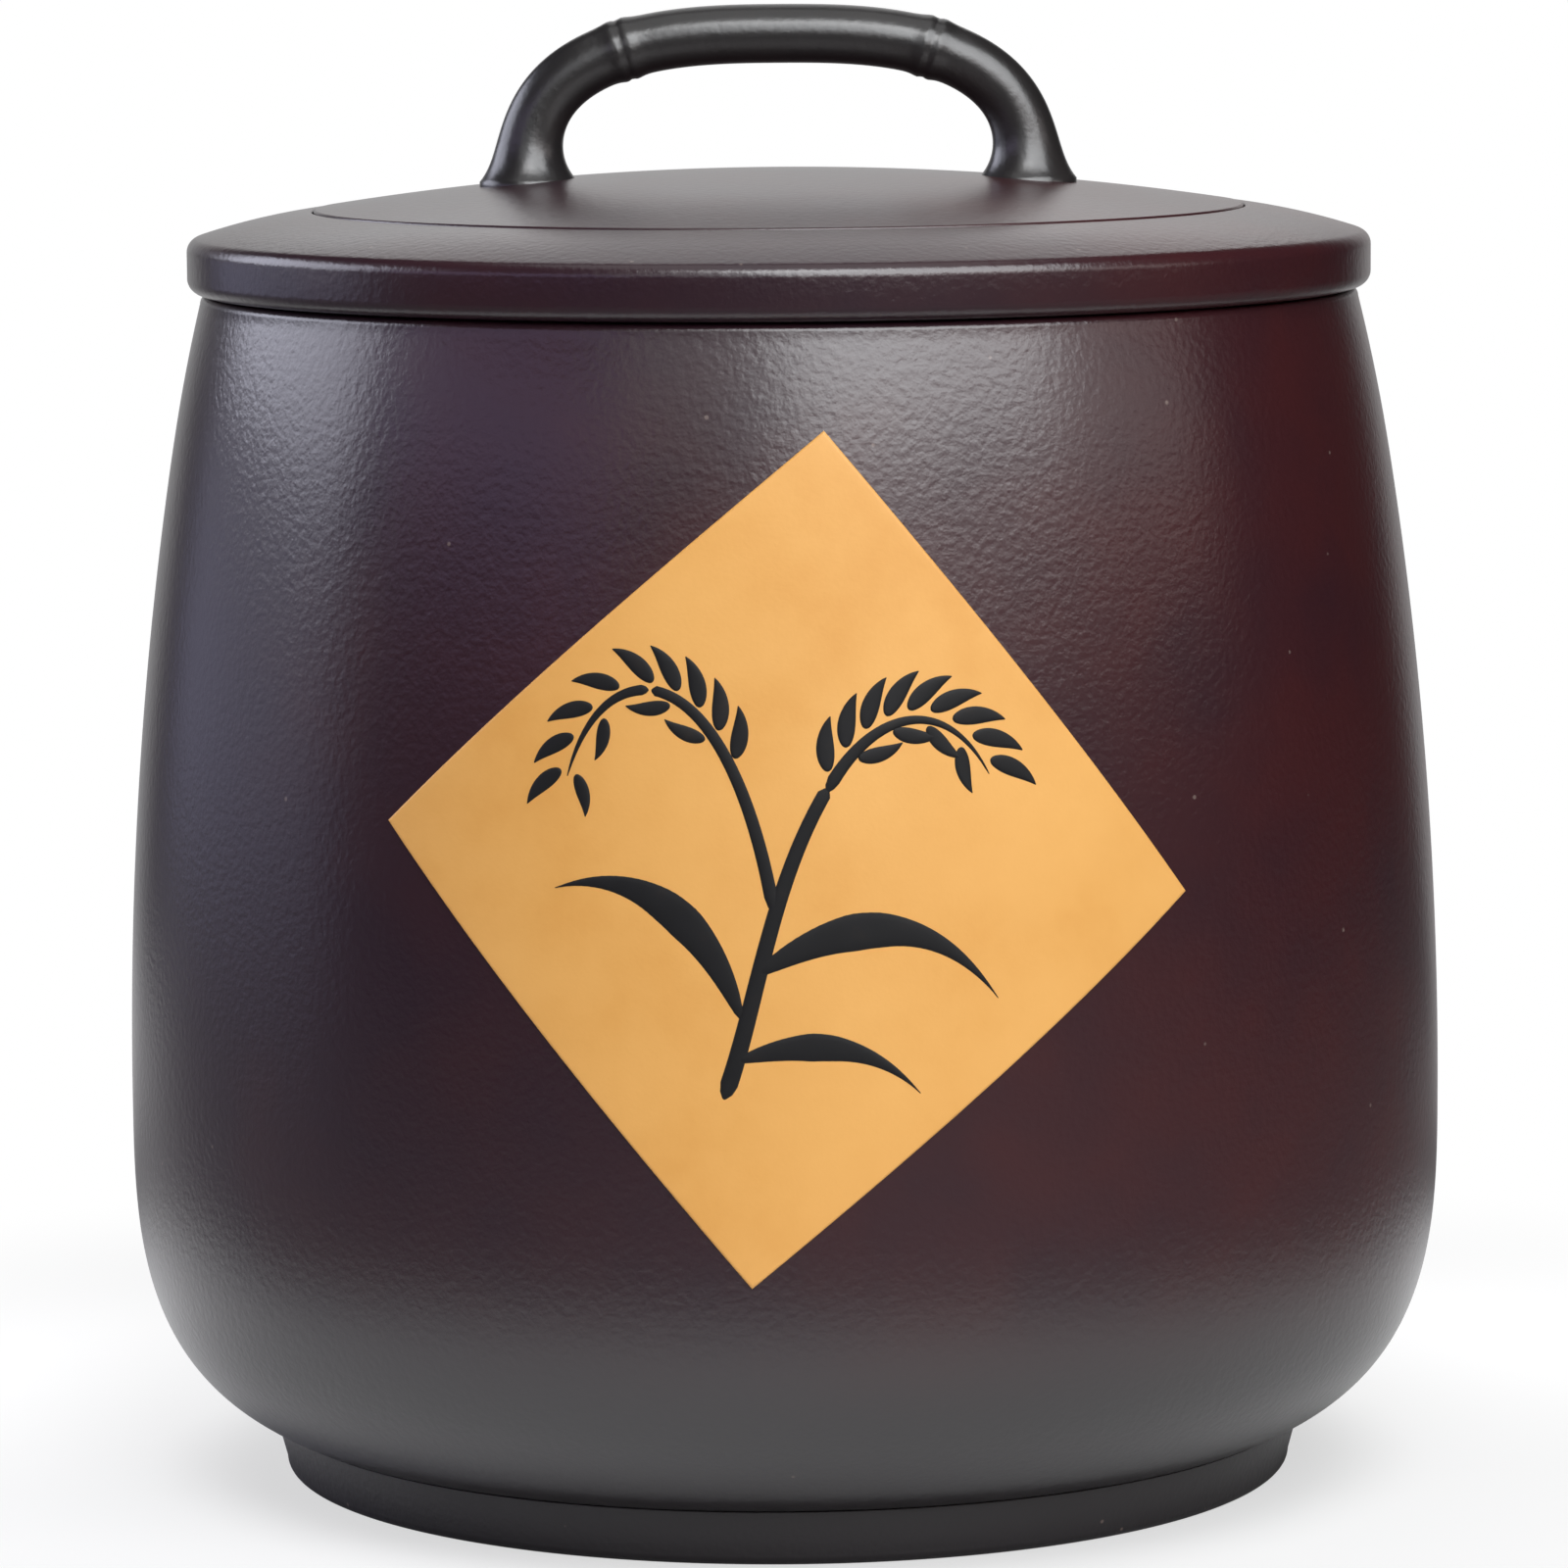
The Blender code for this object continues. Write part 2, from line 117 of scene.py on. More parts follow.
def turnedPiece(name, outline, ring, material, body, slot, stands, ripple=None):
    # turned surface: x = r cos a, y = r sin a, z = z, for a profile (r, z) that runs down the
    # outer side; a ring's profile is closed, any other one starts and ends in a pole on the
    # axis, and a ripple takes its depth off the radius
    outline = np.array(outline, float)
    angles = np.linspace(0, 2 * math.pi, turning["around"], endpoint=False)
    radii, heights = outline[:, :1], outline[:, 1:]
    if ripple is not None:
        radii = np.where(radii > 0, radii - ripple(angles[None, :], heights, radii), 0)
    radii = radii * np.ones_like(angles)
    heights = heights * np.ones_like(angles)
    grid = np.stack([radii * np.cos(angles), radii * np.sin(angles), heights], axis=-1)
    rows, columns = grid.shape[:2]
    points = grid.reshape(-1, 3)
    index = np.arange(rows * columns).reshape(rows, columns)
    if ring:
        faces = gridFaces(index, True, True).tolist()
    else:
        # one vertex stands for each pole's whole row, with triangles round it
        second, lastButOne = index[1], index[-2]
        upper = np.stack([np.full(columns, index[0, 0]), second, np.roll(second, -1)], axis=-1)
        lower = np.stack([np.full(columns, index[-1, 0]), np.roll(lastButOne, -1), lastButOne],
                         axis=-1)
        used = np.ones(rows * columns, bool)
        used[index[[0, -1], 1:]] = False
        number = np.cumsum(used) - 1
        faces = []
        for group in (upper, gridFaces(index[1:-1], False, True), lower):
            faces += number[group].tolist()
        points = points[used]
    makePiece(name, points, faces, material, body, slot, stands)


def pillowPatches(patches):
    # closed thin patches: a front grid and a back grid that share their border, one after another
    allPoints, allFaces, start = [], [], 0
    for front, back in patches:
        rows, columns = front.shape[:2]
        frontIndex = np.arange(rows * columns).reshape(rows, columns)
        backIndex = frontIndex.copy()
        inside = (rows - 2) * (columns - 2)
        backIndex[1:-1, 1:-1] = rows * columns + np.arange(inside).reshape(rows - 2, columns - 2)
        allPoints += [front.reshape(-1, 3), back[1:-1, 1:-1].reshape(-1, 3)]
        allFaces += (gridFaces(frontIndex, False, False) + start).tolist()
        allFaces += (gridFaces(backIndex, False, False)[:, ::-1] + start).tolist()
        start += rows * columns + inside
    return np.vstack(allPoints), allFaces


# Outlines of turned work

turning = {
    "around": 272,              # facets round each turned piece
    "arcSteps": 9,
    "bendSteps": 14,
    "jointGap": 0.0003,         # clear gap between two joined pieces, as in the solids
}


def roundEdge(centre, radius, start, end, steps=None):
    # arc centre + radius * (cos a, sin a) from one angle to another, in degrees from +R to +Z
    a = np.radians(np.linspace(start, end, (steps or turning["arcSteps"]) + 1))
    return (np.array(centre) + radius * np.stack([np.cos(a), np.sin(a)], axis=-1)).tolist()


def softBend(start, corner, end, steps=None):
    # quadratic bend (1 - s)^2 start + 2s(1 - s) corner + s^2 end between two runs that would
    # meet at the corner
    s = np.linspace(0, 1, (steps or turning["bendSteps"]) + 1)[:, None]
    ends = (1 - s) ** 2 * np.array(start) + s ** 2 * np.array(end)
    return (ends + 2 * s * (1 - s) * np.array(corner)).tolist()


def capHeights(radii, edgeRadius, rise):
    # spherical cap: height above its edge, on a ball of radius (edge^2 + rise^2) / 2 rise
    ball = (edgeRadius ** 2 + rise ** 2) / (2 * rise)
    return np.sqrt(ball ** 2 - np.asarray(radii) ** 2) - (ball - rise)


def densify(points, step):
    # the same outline with extra points, so that no run is longer than the step
    points = np.array(points, float)
    dense = [points[:1]]
    for a, b in zip(points[:-1], points[1:]):
        count = max(1, int(np.ceil(np.linalg.norm(b - a) / step)))
        dense.append(a + (b - a) * np.linspace(0, 1, count + 1)[1:, None])
    return np.vstack(dense)


# Jar body and foot ring

jarLow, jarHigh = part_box("jar_body")
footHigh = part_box("foot_ring")[1]
jar = {
    "belly": jarHigh.x,
    "height": jarHigh.z - jarLow.z,
    "bellyHeight": 0.0703,
    "rim": 0.1220,
    "turnIn": 0.0010,           # how far the shoulder turns in below the rim, and over what height
    "turnInHeight": 0.0353,
    "base": 0.1111,
    "hipUndercut": 0.0060,
    "hipFullness": 3.19,        # power of the hip's superellipse; 2 would be an ellipse
    "wall": 0.0080,
    "floor": 0.0090,
    "floorFillet": 0.0100,
    "floorRing": 0.0210,        # spacing and height of the rings left on the floor inside
    "floorRise": 0.0002,
    "rimWidth": 0.0079,
    "rimRound": 0.0019,
    "mouthLand": 0.0160,        # upright band inside the mouth, and the taper below it
    "landTaper": 0.0080,
    "throwRing": 0.0055,        # spacing and depth of the throwing rings left inside
    "throwDepth": 0.00022,
    "throwWander": 0.5,         # radians by which a ring strays, three times round
    "plainFillet": 0.9,         # share of the floor fillet's height that has no rings
    "unevenness": 0.00016,      # most that the slow waves of the hand-finished wall take away
    # those waves as (times round, radians per metre up, phase, share)
    "waves": [(2, 9, 0.0, 1.0), (3, -17, 1.3, 1.0), (5, 31, 4.0, 0.6)],
    "calmEnd": 0.030,           # height at each end of the wall over which they fade out
    "lineSteps": 300,           # steps to each half of the wall's line, and of its mesh
    "meshSteps": 44,
    "ringRows": 5,              # rows of the mesh to each throwing ring
    "floorRows": 12,
    "undersideRows": 14,
}
foot = {
    "top": footHigh.x,
    "height": footHigh.z,
    "width": 0.0134,
    "taper": 0.0024,
    "edge": 0.0022,
    "lean": 8,                  # degrees, slope of its tapered side
    "topRound": 0.0003,
    "topSteps": 3,
    "innerRound": 0.0024,
    "innerSteps": 6,
}


def shoulderRadius(height):
    # arc that stands upright at the belly, less turnIn * s^2 over the last stretch below the rim
    rise, inset = jar["height"] - jar["bellyHeight"], jar["belly"] - jar["rim"] - jar["turnIn"]
    bow = (rise ** 2 + inset ** 2) / (2 * inset)
    s = np.maximum(height - jar["height"] + jar["turnInHeight"], 0) / jar["turnInHeight"]
    upright = 1 - np.sqrt(1 - ((height - jar["bellyHeight"]) / bow) ** 2)
    return jar["belly"] - bow * upright - jar["turnIn"] * s ** 2


def hipOutline(steps):
    # quarter of a superellipse from the belly down, inwards by 1 - cos(a)^(2/n) and down by
    # sin(a)^(2/n), cut off by the flat underside
    depth, power = jar["bellyHeight"] + jar["hipUndercut"], jar["hipFullness"]
    turn = np.linspace(0, math.asin((jar["bellyHeight"] / depth) ** (power / 2)), steps + 1)
    drop = depth * np.sin(turn) ** (2 / power)
    inset = 1 - np.cos(turn) ** (2 / power)
    radii = jar["belly"] - (jar["belly"] - jar["base"]) * inset / inset[-1]
    return radii, jar["bellyHeight"] - drop


def wallOutline(steps):
    # outer radii and heights of the whole wall, from the rim down
    upper = np.linspace(jar["height"], jar["bellyHeight"], steps + 1)
    radii, lower = hipOutline(steps)
    return np.append(shoulderRadius(upper), radii[1:]), np.append(upper, lower[1:])


# the inside is the wall's line moved inwards, square to itself, by the wall's thickness
wallRadii, wallHeights = wallOutline(jar["lineSteps"])
alongR, alongZ = np.gradient(wallRadii), np.gradient(wallHeights)
alongLength = np.hypot(alongR, alongZ)
insideRadii = wallRadii + alongZ / alongLength * jar["wall"]
insideHeights = wallHeights - alongR / alongLength * jar["wall"]


def outerRadius(height):
    # radius of the wall's outer side at a height above its underside
    return np.interp(height, wallHeights[::-1], wallRadii[::-1])


def innerRadius(height):
    return np.interp(height, insideHeights[::-1], insideRadii[::-1])


def wallRipple(angles, heights, radii):
    # outside: slow sines round and up the wall, which only take clay away; inside: throwing rings
    local = heights - jarLow.z
    slow, most = 0, 0
    for times, climb, phase, share in jar["waves"]:
        slow = slow + share * np.sin(times * angles + climb * local + phase)
        most += share
    outside = jar["unevenness"] * (slow + most) / (2 * most)
    fade = np.clip(local / jar["calmEnd"], 0, 1)
    fade = fade * np.clip((jar["height"] - local) / jar["calmEnd"], 0, 1)
    inner = radii < outerRadius(local) - jar["wall"] / 2
    spiral = 2 * math.pi * local / jar["throwRing"] + angles
    spiral = spiral + jar["throwWander"] * np.sin(3 * angles)
    rings = -jar["throwDepth"] * (0.5 + 0.5 * np.sin(spiral))
    inMouth = local > jar["height"] - jar["mouthLand"] - jar["landTaper"]
    inFloor = local < jar["floor"] + jar["floorFillet"] * jar["plainFillet"]
    return np.where(inner, np.where(inMouth | inFloor, 0, rings), outside * fade)


def jarOutline():
    # middle of the floor, up the inside, over the rim, down the outside, back along the underside
    filletTop = jar["floor"] + jar["floorFillet"]
    mouth = jar["rim"] - jar["rimWidth"]
    corner = float(innerRadius(jar["floor"]))
    landBottom = jar["height"] - jar["mouthLand"]
    taperBottom = landBottom - jar["landTaper"]
    taperThird = jar["landTaper"] / 3
    floorRadii = np.linspace(0, corner - jar["floorFillet"], jar["floorRows"])[:-1]
    floorRings = np.cos(2 * math.pi * floorRadii / jar["floorRing"])
    outline = list(zip(floorRadii, jar["floor"] + jar["floorRise"] * floorRings))
    outline += softBend((corner - jar["floorFillet"], jar["floor"]), (corner, jar["floor"]),
                        (float(innerRadius(filletTop)), filletTop))
    rise = np.arange(filletTop, taperBottom, jar["throwRing"] / jar["ringRows"])[1:]
    outline += list(zip(innerRadius(rise), rise))
    outline += softBend((float(innerRadius(taperBottom)), taperBottom),
                        (mouth, landBottom - taperThird), (mouth, landBottom + taperThird))
    start = jar["height"] - jar["rimRound"]
    outline += roundEdge((mouth + jar["rimRound"], start), jar["rimRound"], 180, 90)
    outline += roundEdge((float(outerRadius(start)) - jar["rimRound"], start), jar["rimRound"],
                         90, 0)
    radii, heights = wallOutline(jar["meshSteps"])
    below = heights < start
    outline += list(zip(radii[below], heights[below]))
    outline += [(r, 0.0) for r in np.linspace(jar["base"], 0, jar["undersideRows"])[1:]]
    return np.array(outline) + [0, jarLow.z]


def footOutline():
    # turned ring with a soft outer foot edge and a rounded one inside
    bottom, inner = foot["top"] - foot["taper"], foot["top"] - foot["width"]
    outline = roundEdge((foot["top"] - foot["topRound"], foot["height"] - foot["topRound"]),
                        foot["topRound"], 90, 0, foot["topSteps"])
    outline += roundEdge((bottom - foot["edge"], foot["edge"]), foot["edge"], foot["lean"], -90)
    outline += softBend((inner + foot["innerRound"], 0.0), (inner, 0.0),
                        (inner, foot["innerRound"]), foot["innerSteps"])
    outline += [(inner, foot["height"])]
    return outline


# Lid: seat plate, domed disc, locating flange

plateLow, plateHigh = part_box("lid_plate")
domeLow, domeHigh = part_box("lid_dome")
flangeLow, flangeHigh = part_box("lid_flange")
lid = {
    "base": plateLow.z,
    "radius": plateHigh.x,
    "edgeHeight": 0.0118,
    "lowerRound": 0.0032,
    "upperRound": 0.0031,
    "crown": 0.0006,            # how far the border bows up between its ends
    "rebate": domeHigh.x + turning["jointGap"],
    "borderTop": plateHigh.z,
    "hollowRise": 0.0062,
    "seat": domeLow.z - turning["jointGap"],
    "seatWidth": 0.0063,
    "seamRound": 0.0006,        # rounded edges on both sides of the fine ring line
    "seamSteps": 5,
    "borderRows": 24,
    "longestStep": 0.003,
}
dome = {
    "radius": domeHigh.x,
    "base": domeLow.z,
    "edgeTop": plateHigh.z + 0.0003,    # its edge stands this much proud of the border
    "top": domeHigh.z,
    "thickness": 0.0070,
    "edgeStart": 75,            # degrees at which the crown runs into its rounded rim
    "crownRows": 46,
    "hollowRows": 30,
}
flange = {
    "radius": flangeHigh.x,
    "top": flangeHigh.z,
    "bottom": flangeLow.z,
    "wall": 0.0060,
    "lowerRound": 0.0012,
    "roundSteps": 5,
    "grooveDepth": 0.0020,
    "grooveHeight": 0.0092,
    "grooveDrop": 0.0016,
    "longestStep": 0.004,
}


def plateOutline():
    # rebate, border that bows up by crown * 4s(1 - s), rounded edge, flat underside and hollow
    opening = lid["rebate"] - lid["seatWidth"]
    start, end = lid["rebate"] + lid["seamRound"], lid["radius"] - lid["upperRound"]
    rise = lid["borderTop"] - lid["base"] - lid["edgeHeight"]
    steep = math.degrees(math.atan2(rise + 4 * lid["crown"], end - start))
    gentle = math.degrees(math.atan2(rise - 4 * lid["crown"], end - start))
    hollowEdge = flange["radius"] - flange["wall"]
    outline = [(opening, lid["seat"]), (lid["rebate"], lid["seat"])]
    outline += roundEdge((start, lid["borderTop"] - lid["seamRound"]), lid["seamRound"],
                         180, 90 - gentle, lid["seamSteps"])
    edge = roundEdge((end, lid["base"] + lid["edgeHeight"] - lid["upperRound"]),
                     lid["upperRound"], 90 - steep, 0)
    edgeStart, edgeTop = edge[0]
    s = np.linspace(0, 1, lid["borderRows"])[1:-1]
    bow = 4 * lid["crown"] * s * (1 - s)
    border = lid["borderTop"] * (1 - s) + edgeTop * s + bow
    outline += list(zip(start + (edgeStart - start) * s, border))
    outline += edge
    outline += roundEdge((lid["radius"] - lid["lowerRound"], lid["base"] + lid["lowerRound"]),
                         lid["lowerRound"], 0, -90)
    outline += [(hollowEdge, lid["base"]), (opening, lid["base"] + lid["hollowRise"])]
    return densify(outline, lid["longestStep"])


def domeTop(radius):
    # height of the dome's upper side at a distance from the axis
    return dome["edgeTop"] + capHeights(radius, dome["radius"], dome["top"] - dome["edgeTop"])


def domeOutline():
    # crown, rounded rim at the seam, flat seat and hollowed underside
    crown = np.linspace(0, dome["radius"] - lid["seamRound"], dome["crownRows"])
    outline = list(zip(crown, domeTop(crown)))
    edge = (dome["radius"] - lid["seamRound"], outline[-1][1] - lid["seamRound"])
    outline += roundEdge(edge, lid["seamRound"], dome["edgeStart"], 0, lid["seamSteps"])
    outline += [(dome["radius"], dome["base"])]
    hollowEdge = lid["rebate"] - lid["seatWidth"] - turning["jointGap"]
    hollow = np.linspace(hollowEdge, 0, dome["hollowRows"])
    rise = dome["top"] - dome["thickness"] - dome["base"]
    outline += list(zip(hollow, dome["base"] + capHeights(hollow, hollow[0], rise)))
    return outline


def flangeOutline():
    # hoop with the seal's groove and rounded lower edges
    inner, floor = flange["radius"] - flange["wall"], flange["radius"] - flange["grooveDepth"]
    grooveTop = flange["top"] - flange["grooveDrop"]
    grooveBottom = grooveTop - flange["grooveHeight"]
    outline = [(inner, flange["top"]), (flange["radius"], flange["top"])]
    outline += [(flange["radius"], grooveTop), (floor, grooveTop)]
    outline += [(floor, grooveBottom), (flange["radius"], grooveBottom)]
    middle = flange["bottom"] + flange["lowerRound"]
    outline += roundEdge((flange["radius"] - flange["lowerRound"], middle), flange["lowerRound"],
                         0, -90, flange["roundSteps"])
    outline += roundEdge((inner + flange["lowerRound"], middle), flange["lowerRound"],
                         -90, -180, flange["roundSteps"])
    return densify(outline, flange["longestStep"])


# Lip seal

seal = {
    "band": 0.0020,
    "lips": 2,
    "lipRoot": 0.0018,
    "rootSpread": 0.9,          # share of the root over which a lip swells out of the band,
    "rootReach": 0.4,           # and how far that swelling reaches, as a share of the band
    "lipTip": 0.0008,
    "lipLift": 0.0009,
    "rootSteps": 4,
    "tipSteps": 8,
}


def sealOutline():
    # band in the groove, with lips that swell at the root and end in a round tip
    low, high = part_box("seal_ring")
    inner = flange["radius"] - flange["grooveDepth"] + turning["jointGap"]
    outer, tip = inner + seal["band"], high.x
    swell, tipRound = outer + seal["band"] * seal["rootReach"], seal["lipTip"] / 2
    half, spread = seal["lipRoot"] / 2, seal["lipRoot"] * seal["rootSpread"]
    outline = [(inner, high.z), (outer, high.z)]
    for middle in np.linspace(high.z, low.z, seal["lips"] + 2)[1:-1]:
        outline += softBend((outer, middle + spread), (outer, middle + half),
                            (swell, middle + half), seal["rootSteps"])
        outline += roundEdge((tip - tipRound, middle + seal["lipLift"]), tipRound,
                             90, -90, seal["tipSteps"])
        outline += softBend((swell, middle - half), (outer, middle - half),
                            (outer, middle - spread), seal["rootSteps"])
    outline += [(outer, low.z), (inner, low.z)]
    return outline


# Handle

handle = {
    "reach": 0.0528,
    "squareness": 2.75,         # power of the arch's superellipse
    "grip": 0.0062,
    "flare": 0.0042,
    "flareFade": 0.0048,
    "joint": 0.0324,
    "swell": 0.0007,
    "swellWidth": 0.0026,
    "groove": 0.0005,
    "grooveWidth": 0.0009,
    "inset": 0.0001,            # keeps the smooth tube inside the solid's box
    "sink": 0.0024,             # how far the feet run into the dome's surface
    "footRows": 3,
    "sides": 64,
    "step": 0.0007,
    "lineSteps": 4000,          # steps of the arch's line where its length is worked out
}


def handleSurface():
    # tube round half a superellipse |x/a|^n + |z/c|^n = 1, whose radius grows to flared feet and
    # swells beside two incised bamboo joints
    base = float(domeTop(handle["reach"]))
    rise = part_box("lid_handle")[1].z - handle["grip"] - base - handle["inset"]
    power = 2 / handle["squareness"]
    turn = np.linspace(math.pi, 0, handle["lineSteps"])
    across = np.sign(np.cos(turn)) * np.abs(np.cos(turn)) ** power * handle["reach"]
    up = np.abs(np.sin(turn)) ** power * rise
    lengths = np.append(0, np.cumsum(np.hypot(np.diff(across), np.diff(up))))
    stations = np.linspace(0, lengths[-1], int(lengths[-1] / handle["step"]))
    x, z = np.interp(stations, lengths, across), np.interp(stations, lengths, up)
    radii = handle["grip"] + handle["flare"] * np.exp(-z / handle["flareFade"])
    for joint in np.interp([-handle["joint"], handle["joint"]], across, lengths):
        radii += handle["swell"] * np.exp(-((stations - joint) / handle["swellWidth"]) ** 2)
        radii -= handle["groove"] * np.exp(-((stations - joint) / handle["grooveWidth"]) ** 2)
    drop = np.linspace(-handle["sink"], 0, handle["footRows"] + 1)[:-1]
    z = np.concatenate([drop, z, drop[::-1]])
    x, radii = (np.pad(line, handle["footRows"], mode="edge") for line in (x, radii))
    tangentX, tangentZ = np.gradient(x), np.gradient(z)
    length = np.hypot(tangentX, tangentZ)
    outX, outZ = -tangentZ / length, tangentX / length
    side = np.linspace(0, 2 * math.pi, handle["sides"], endpoint=False)
    offset = radii[:, None] * np.cos(side)
    grid = np.stack([x[:, None] + outX[:, None] * offset,
                     radii[:, None] * np.sin(side),
                     base + z[:, None] + outZ[:, None] * offset], axis=-1)
    rows, columns = grid.shape[:2]
    index = np.arange(rows * columns).reshape(rows, columns)
    faces = gridFaces(index, False, True).tolist()
    faces += [index[0].tolist(), index[-1, ::-1].tolist()]
    return grid.reshape(-1, 3), faces


# Label panel and its brushed sprig

panel = {
    "side": 0.1198,
    "height": 0.1353,
    "offset": 0.0009,
    "tilt": math.radians(5.2),
    "thickness": 0.00042,
    "bed": 0.0004,              # how deep its back lies in the clay
    "edge": 0.0007,             # width of the softened edge
    "cells": 100,
    "edgeCells": 5,
}
wallRuns = np.hypot(np.diff(wallRadii[::-1]), np.diff(wallHeights[::-1]))
wallLengths = np.append(0, np.cumsum(wallRuns))


def layOnWall(across, up, lift):
    # a sheet laid on the wall: across is arc length round the jar, up is length along its outline,
    # less the drop of a level line on a wall that narrows upwards, narrowing * across^2 / 2r
    start = np.interp(panel["height"], wallHeights[::-1], wallLengths)
    narrowing = np.interp(panel["height"], wallHeights[::-1], -(alongR / alongZ)[::-1])
    drop = narrowing * across ** 2 / (2 * outerRadius(panel["height"]))
    height = np.interp(start + up - drop, wallLengths, wallHeights[::-1])
    radius = outerRadius(height)
    turn = across / radius
    reach = radius + lift
    return np.stack([reach * np.sin(turn), -reach * np.cos(turn), height + jarLow.z], axis=-1)


def panelPatch():
    # square sheet on its corner, whose face rolls down to the wall at the edges
    half = panel["side"] / 2
    shares = np.linspace(0, 1, panel["edgeCells"], endpoint=False)
    edge = -half + panel["edge"] * shares
    middle = np.linspace(-half + panel["edge"], half - panel["edge"], panel["cells"])
    line = np.concatenate([edge, middle, -edge[::-1]])
    y, x = np.meshgrid(line[::-1], line, indexing="ij")
    nearEdge = half - np.maximum(np.abs(x), np.abs(y))
    roll = np.sqrt(1 - (1 - np.clip(nearEdge / panel["edge"], 0, 1)) ** 2)
    turn = math.pi / 4 - panel["tilt"]
    across = x * math.cos(turn) - y * math.sin(turn) + panel["offset"]
    up = x * math.sin(turn) + y * math.cos(turn)
    front = layOnWall(across, up, panel["thickness"] * roll)
    back = layOnWall(across, up, np.full_like(across, -panel["bed"]))
    return front, back


sprig = {
    "centre": (-0.0015, 0.0015),
    "turn": math.radians(-3.0),
    "base": 0.00034,            # the strokes start inside the panel's face
    "relief": 0.00030,          # and stand this far above that
    "along": 34,                # grid of a stroke
    "across": 9,
    "perMetre": 1000,           # the strokes and ears below are in millimetres from the centre
    "thinnest": 0.10,           # least half width
    # strokes as (start, bend, bend, end, widest, kind)
    "strokes": [
        ((-9, -49), (-3, -30), (-2, -6), (9, 14), 2.0, "stem"),
        ((8.3, 12.2), (16, 29), (31, 34), (41, 17), 1.5, "tail"),
        ((-0.6, -12), (-5, 9), (-14, 30), (-27, 31), 1.5, "stem"),
        ((-27, 31), (-36, 31), (-41, 22), (-43, 13), 1.2, "tail"),
        ((-6, -33), (-14, -12), (-29, -3), (-45, -9), 4.6, "leaf"),
        ((-4, -24), (12, -12), (30, -8), (45, -27), 4.8, "leaf"),
        ((-7, -41), (6, -36), (19, -35), (30, -46), 3.6, "leaf"),
    ],
    # ears of grain as (path points, first share, last share, grains, grain length, outer side)
    "ears": [
        (((9, 14), (17, 30), (31, 34), (41, 17)), 0.04, 0.95, 9, 11.0, 1),
        (((-2, -10), (-6, 10), (-14, 30), (-27, 31)), 0.50, 0.99, 5, 10.5, -1),
        (((-27, 31), (-36, 31), (-41, 22), (-43, 13)), 0.22, 0.96, 4, 10.0, -1),
    ],
    "grainWidth": 0.18,         # half width of a grain as a share of its length
    "grainTurn": 30,            # degrees between a grain and its stem
    "grainStep": 1.5,           # distance from the stem's middle to a grain's foot
    "grainBow": 0.12,           # how far its curve is pulled outwards, as a share of its length
    "innerGrain": 0.86,         # size of the grains on the inner side of a bend
}
brush = {
    "landing": 0.06,            # share of a stem or tail over which the brush comes down
    "stemThins": 0.25,          # how much thinner a stem is at its end
    "stemLifts": 0.03,          # share of it over which the brush then lifts off
    "tailPower": 0.6,
    "leafSwells": (0.50, 0.55),     # share of a leaf over which it widens, and with what power
    "leafTapers": (0.62, 1.1),      # the same for its tip
    "grainPowers": (0.64, 0.85),    # how far back a grain is widest, and how blunt it is
}


def bezier(points, t):
    # cubic curve through four control points, and its unit direction
    a, b, c, d = (np.array(point, float) for point in points)
    t = np.asarray(t, float)[..., None]
    place = (1 - t) ** 3 * a + 3 * (1 - t) ** 2 * t * b + 3 * (1 - t) * t ** 2 * c + t ** 3 * d
    along = 3 * (1 - t) ** 2 * (b - a) + 6 * (1 - t) * t * (c - b) + 3 * t ** 2 * (d - c)
    return place, along / np.linalg.norm(along, axis=-1, keepdims=True)


def strokeWidth(kind, t):
    # half width of a brush stroke along its length t, as a share of its widest: clipped powers
    # of t and of 1 - t, and for a grain a power of sin(pi t^p)
    landed = np.sqrt(np.clip(t / brush["landing"], 0, 1))
    if kind == "stem":
        thinned = 1.0 - brush["stemThins"] * t
        return landed * thinned * np.sqrt(np.clip((1 - t) / brush["stemLifts"], 0, 1))
    if kind == "tail":
        return landed * (1 - t) ** brush["tailPower"]
    if kind == "leaf":
        swells, swellPower = brush["leafSwells"]
        tapers, taperPower = brush["leafTapers"]
        swollen = np.clip(t / swells, 0, 1) ** swellPower
        return swollen * np.clip((1 - t) / tapers, 0, 1) ** taperPower
    widest, blunt = brush["grainPowers"]
    return np.sin(math.pi * np.clip(t, 0, 1) ** widest) ** blunt


def strokePatch(points, widest, kind):
    # ribbon round a curve: place = curve(t) + s * half width(t) * normal, domed across s
    t = np.linspace(0, 1, sprig["along"])
    place, along = bezier(points, t)
    normal = np.stack([-along[:, 1], along[:, 0]], axis=-1)
    half = np.maximum(widest * strokeWidth(kind, t), sprig["thinnest"])
    s = np.linspace(1, -1, sprig["across"])
    spread = place[:, None] + s[None, :, None] * half[:, None, None] * normal[:, None]
    lift = sprig["relief"] * np.sqrt(1 - s ** 2) * np.ones((len(t), 1))
    lift[[0, -1]] = 0
    cos, sin = math.cos(sprig["turn"]), math.sin(sprig["turn"])
    x = (spread[..., 0] * cos - spread[..., 1] * sin) / sprig["perMetre"]
    y = (spread[..., 0] * sin + spread[..., 1] * cos) / sprig["perMetre"]
    x, y = x + sprig["centre"][0] + panel["offset"], y + sprig["centre"][1]
    back = layOnWall(x, y, np.full_like(x, sprig["base"] / 2))
    return layOnWall(x, y, sprig["base"] + lift), back


